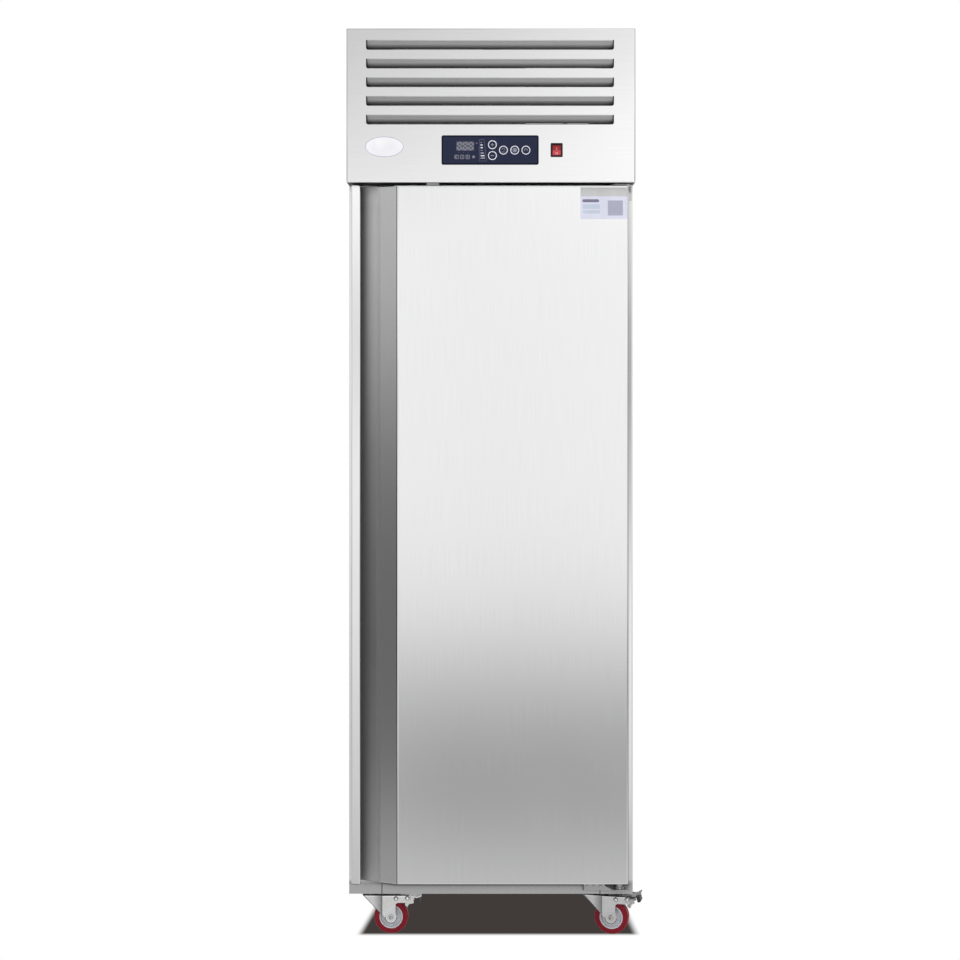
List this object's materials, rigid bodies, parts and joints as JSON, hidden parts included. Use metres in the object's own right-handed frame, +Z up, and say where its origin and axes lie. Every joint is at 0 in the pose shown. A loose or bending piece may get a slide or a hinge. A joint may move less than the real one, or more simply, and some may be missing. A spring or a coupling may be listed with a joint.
{
  "type": "commercial refrigerator",
  "caption": "Upright stainless reach-in refrigerator: louvred top unit with keypad and rocker switch, hinged door with full-height grip channel, wire shelves, braked swivel casters.",
  "frame": {"origin": "on the floor below the middle of the cabinet", "axes": "+Z up, +X to the right seen from the front, the front faces -Y"},
  "size_m": [0.6725, 0.7183, 1.98],
  "materials": {
    "stainless_skin": "satin",
    "stainless_inner": "satin",
    "galvanised_back": "matte",
    "foam": "matte",
    "shelf_wire": "gloss",
    "white_plastic": "satin",
    "coil_aluminium": "satin",
    "motor_black": "satin",
    "fan_plastic": "satin",
    "zinc_plate": "satin",
    "copper": "satin",
    "navy_panel": "gloss",
    "circuit_green": "satin",
    "key_plastic": "gloss",
    "black_plastic": "satin",
    "red_rocker": "gloss",
    "grey_plastic": "satin",
    "lamp_lens": "gloss",
    "gasket_rubber": "matte",
    "wheel_silver": "satin",
    "red_tread": "satin"
  },
  "bodies": {
    "cabinet": {"base_pan": "galvanised_back", "cable_gland": "black_plastic", "caster_plates": "zinc_plate", "compressor": "motor_black", "condenser_coil": "coil_aluminium", "condenser_fan_shroud": "zinc_plate", "control_overlay": "navy_panel", "controller_board": "circuit_green", "door_switch": "grey_plastic", "evaporator_coil": "coil_aluminium", "evaporator_cover": "white_plastic", "evaporator_fan_motor": "motor_black", "front_frame": "stainless_skin", "inner_liner": "stainless_inner", "insulation_foam": "foam", "interior_lamp": "lamp_lens", "left_side_panel": "stainless_skin", "lower_hinge": "zinc_plate", "machine_cover": "stainless_skin", "rear_panel": "galvanised_back", "refrigerant_lines": "copper", "right_side_panel": "stainless_skin", "rocker_bezel": "black_plastic", "roof_deck": "galvanised_back", "shelf_clips": "stainless_inner", "shelf_standards": "stainless_inner", "top_front_panel": "stainless_skin", "upper_hinge": "zinc_plate", "wire_shelf_lower": "shelf_wire", "wire_shelf_middle": "shelf_wire", "wire_shelf_upper": "shelf_wire"},
    "door": {"door_outer_skin": "stainless_skin", "door_foam_core": "foam", "door_inner_panel": "stainless_inner", "door_gasket": "gasket_rubber", "door_hinge_bushes": "white_plastic"},
    "condenser_fan": {"condenser_fan_blades": "fan_plastic"},
    "evaporator_fan": {"evaporator_fan_blades": "fan_plastic"},
    "rocker": {"rocker_button": "red_rocker"},
    "up_key_body": {"up_key": "key_plastic"},
    "down_key_body": {"down_key": "key_plastic"},
    "set_key_body": {"set_key": "key_plastic"},
    "light_key_body": {"light_key": "key_plastic"},
    "power_key_body": {"power_key": "key_plastic"},
    "front_left_swivel": {"front_left_fork": "zinc_plate"},
    "front_left_wheel": {"front_left_wheel_core": "wheel_silver", "front_left_wheel_tread": "red_tread"},
    "front_left_pedal": {"front_left_brake_pedal": "zinc_plate"},
    "front_right_swivel": {"front_right_fork": "zinc_plate"},
    "front_right_wheel": {"front_right_wheel_core": "wheel_silver", "front_right_wheel_tread": "red_tread"},
    "front_right_pedal": {"front_right_brake_pedal": "zinc_plate"},
    "rear_left_swivel": {"rear_left_fork": "zinc_plate"},
    "rear_left_wheel": {"rear_left_wheel_core": "wheel_silver", "rear_left_wheel_tread": "red_tread"},
    "rear_left_pedal": {"rear_left_brake_pedal": "zinc_plate"},
    "rear_right_swivel": {"rear_right_fork": "zinc_plate"},
    "rear_right_wheel": {"rear_right_wheel_core": "wheel_silver", "rear_right_wheel_tread": "red_tread"},
    "rear_right_pedal": {"rear_right_brake_pedal": "zinc_plate"}
  },
  "joints": [
    {"name": "door_hinge", "type": "hinge", "parent": "cabinet", "child": "door", "pos_m": [0.278, -0.31, 0.9], "axis": [0, 0, 1], "range_deg": [0, 115]},
    {"name": "condenser_fan_spin", "type": "hinge", "parent": "cabinet", "child": "condenser_fan", "pos_m": [-0.095, -0.163, 1.7896], "axis": [0, 1, 0], "continuous": true},
    {"name": "evaporator_fan_spin", "type": "hinge", "parent": "cabinet", "child": "evaporator_fan", "pos_m": [0, 0.086, 1.508], "axis": [0, 1, 0], "continuous": true},
    {"name": "rocker_tip", "type": "hinge", "parent": "cabinet", "child": "rocker", "pos_m": [0.141, -0.347, 1.719], "axis": [1, 0, 0], "range_deg": [-14, 0]},
    {"name": "up_key_press", "type": "slide", "parent": "cabinet", "child": "up_key_body", "axis": [0, 1, 0], "range_m": [0, 0.0005], "stiffness_N_per_m": 300},
    {"name": "down_key_press", "type": "slide", "parent": "cabinet", "child": "down_key_body", "axis": [0, 1, 0], "range_m": [0, 0.0005], "stiffness_N_per_m": 300},
    {"name": "set_key_press", "type": "slide", "parent": "cabinet", "child": "set_key_body", "axis": [0, 1, 0], "range_m": [0, 0.0005], "stiffness_N_per_m": 300},
    {"name": "light_key_press", "type": "slide", "parent": "cabinet", "child": "light_key_body", "axis": [0, 1, 0], "range_m": [0, 0.0005], "stiffness_N_per_m": 300},
    {"name": "power_key_press", "type": "slide", "parent": "cabinet", "child": "power_key_body", "axis": [0, 1, 0], "range_m": [0, 0.0005], "stiffness_N_per_m": 300},
    {"name": "front_left_swivel_turn", "type": "hinge", "parent": "cabinet", "child": "front_left_swivel", "pos_m": [-0.245, -0.218, 0.09], "axis": [0, 0, 1], "continuous": true},
    {"name": "front_left_wheel_spin", "type": "hinge", "parent": "front_left_swivel", "child": "front_left_wheel", "pos_m": [-0.221, -0.218, 0.0375], "axis": [0, -1, 0], "continuous": true},
    {"name": "front_left_pedal_tip", "type": "hinge", "parent": "front_left_swivel", "child": "front_left_pedal", "pos_m": [-0.185, -0.218, 0.08], "axis": [0, -1, 0], "range_deg": [0, 16]},
    {"name": "front_right_swivel_turn", "type": "hinge", "parent": "cabinet", "child": "front_right_swivel", "pos_m": [0.245, -0.218, 0.09], "axis": [0, 0, 1], "continuous": true},
    {"name": "front_right_wheel_spin", "type": "hinge", "parent": "front_right_swivel", "child": "front_right_wheel", "pos_m": [0.26838, -0.2234, 0.0375], "axis": [-0.225, -0.9744, 0], "continuous": true},
    {"name": "front_right_pedal_tip", "type": "hinge", "parent": "front_right_swivel", "child": "front_right_pedal", "pos_m": [0.30346, -0.2315, 0.08], "axis": [-0.225, -0.9744, 0], "range_deg": [-16, 0]},
    {"name": "rear_left_swivel_turn", "type": "hinge", "parent": "cabinet", "child": "rear_left_swivel", "pos_m": [-0.245, 0.29, 0.09], "axis": [0, 0, 1], "continuous": true},
    {"name": "rear_left_wheel_spin", "type": "hinge", "parent": "rear_left_swivel", "child": "rear_left_wheel", "pos_m": [-0.269, 0.29, 0.0375], "axis": [0, 1, 0], "continuous": true},
    {"name": "rear_left_pedal_tip", "type": "hinge", "parent": "rear_left_swivel", "child": "rear_left_pedal", "pos_m": [-0.305, 0.29, 0.08], "axis": [0, 1, 0], "range_deg": [0, 16]},
    {"name": "rear_right_swivel_turn", "type": "hinge", "parent": "cabinet", "child": "rear_right_swivel", "pos_m": [0.245, 0.29, 0.09], "axis": [0, 0, 1], "continuous": true},
    {"name": "rear_right_wheel_spin", "type": "hinge", "parent": "rear_right_swivel", "child": "rear_right_wheel", "pos_m": [0.221, 0.29, 0.0375], "axis": [0, 1, 0], "continuous": true},
    {"name": "rear_right_pedal_tip", "type": "hinge", "parent": "rear_right_swivel", "child": "rear_right_pedal", "pos_m": [0.185, 0.29, 0.08], "axis": [0, 1, 0], "range_deg": [0, 16]}
  ]
}
